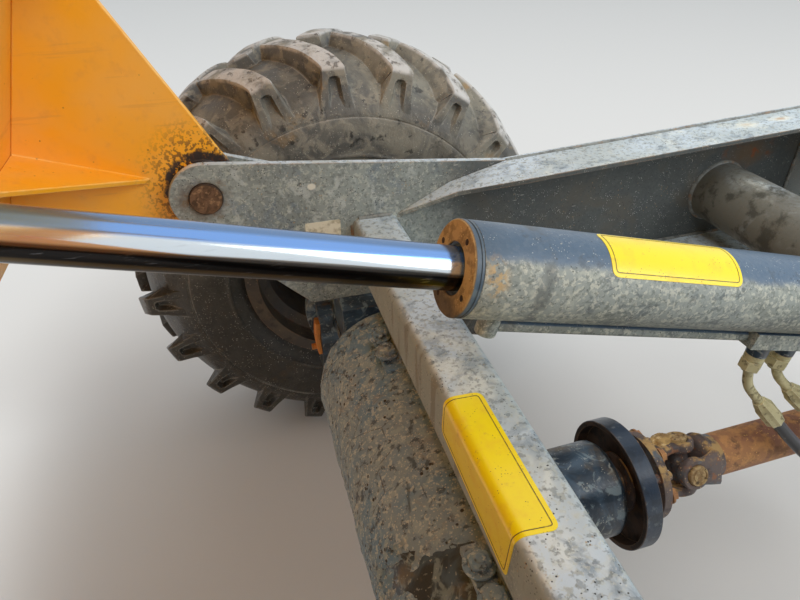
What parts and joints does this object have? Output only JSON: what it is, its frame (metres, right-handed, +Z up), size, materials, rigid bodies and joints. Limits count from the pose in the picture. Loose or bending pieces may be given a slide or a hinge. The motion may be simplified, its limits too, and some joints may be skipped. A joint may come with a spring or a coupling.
{
  "type": "front unit of an articulated site dumper",
  "caption": "Front half of an articulated site dumper: chassis, rigid axle with lugged tyres, tipping ram and raised forward skip.",
  "frame": {"origin": "centre of the upper articulation bore, behind the head plate", "axes": "+X forward in the direction of travel, +Y to the left, +Z up along the articulation pin"},
  "size_m": [2.553, 2.327, 2.5713],
  "materials": {
    "skip_paint": "orange-yellow, worn",
    "frame_paint": "blue-grey, worn and dusty",
    "ram_paint": "blue-grey, scuffed",
    "rim_paint": "dark, muddy",
    "cast_dark": "muddy",
    "rusty_steel": "rusted",
    "pin_steel": "rust film",
    "rod_chrome": "polished",
    "plated_fittings": "zinc plated",
    "hose_rubber": "matte",
    "pad_rubber": "matte",
    "tyre_rubber": "muddy"
  },
  "bodies": {
    "chassis": {"side_plate_left": "frame_paint", "side_plate_right": "frame_paint", "outer_cheek_left": "frame_paint", "outer_cheek_right": "frame_paint", "rail_flanges_left": "frame_paint", "rail_flanges_right": "frame_paint", "pivot_pin_left": "pin_steel", "pivot_pin_right": "pin_steel", "brake_housing_left": "cast_dark", "brake_housing_right": "cast_dark", "crossmember": "frame_paint", "axle_housing": "cast_dark", "axle_saddles": "rusty_steel", "ram_mount": "frame_paint", "ram_base_pin": "pin_steel", "head_plate": "frame_paint", "articulation_lug_upper": "frame_paint", "articulation_lug_lower": "frame_paint", "propshaft_bearing": "cast_dark", "hose_bulkhead": "plated_fittings", "hose_front": "hose_rubber", "hose_rear": "hose_rubber"},
    "skip": {"skip_shell": "skip_paint", "skip_rim": "skip_paint", "skip_ribs": "skip_paint", "skip_bearers": "skip_paint", "skip_pads": "pad_rubber", "skip_bracket_left": "skip_paint", "skip_bracket_right": "skip_paint", "rod_clevis": "skip_paint"},
    "barrel": {"ram_barrel": "ram_paint", "ram_gland": "rusty_steel", "ram_pipe": "ram_paint", "hose_fittings": "plated_fittings"},
    "piston_rod": {"ram_rod": "rod_chrome", "rod_eye": "rusty_steel"},
    "wheel_left": {"tyre_left": "tyre_rubber", "rim_left": "rim_paint", "hub_left": "cast_dark"},
    "wheel_right": {"tyre_right": "tyre_rubber", "rim_right": "rim_paint", "hub_right": "cast_dark"},
    "driveline": {"propshaft": "rusty_steel", "pinion_flange": "rusty_steel", "parking_drum": "cast_dark"}
  },
  "joints": [
    {"name": "skip_tip", "type": "hinge", "parent": "chassis", "child": "skip", "pos_m": [1.4688, 0, 0.0805], "axis": [0, 1, 0], "range_deg": [-71.5, 0]},
    {"name": "ram_swing", "type": "hinge", "parent": "chassis", "child": "barrel", "pos_m": [0.44, 0, -0.0303], "axis": [0, 1, 0], "range_deg": [-9.95, 0]},
    {"name": "rod_slide", "type": "slide", "parent": "barrel", "child": "piston_rod", "axis": [0.9677, 0, 0.2523], "range_m": [-0.328, 0]},
    {"name": "wheel_left_roll", "type": "hinge", "parent": "chassis", "child": "wheel_left", "pos_m": [1.15, 0.963, -0.3], "axis": [0, 1, 0], "continuous": true},
    {"name": "wheel_right_roll", "type": "hinge", "parent": "chassis", "child": "wheel_right", "pos_m": [1.15, -0.963, -0.3], "axis": [0, 1, 0], "continuous": true},
    {"name": "propshaft_spin", "type": "hinge", "parent": "chassis", "child": "driveline", "pos_m": [1.15, 0, -0.3646], "axis": [-0.9997, 0, 0.0255], "continuous": true}
  ],
  "couplings": [
    {"joint": "ram_swing", "follows": "skip_tip", "ratio": 0.13897},
    {"joint": "rod_slide", "follows": "skip_tip", "m_per_rad": 0.26199}
  ]
}
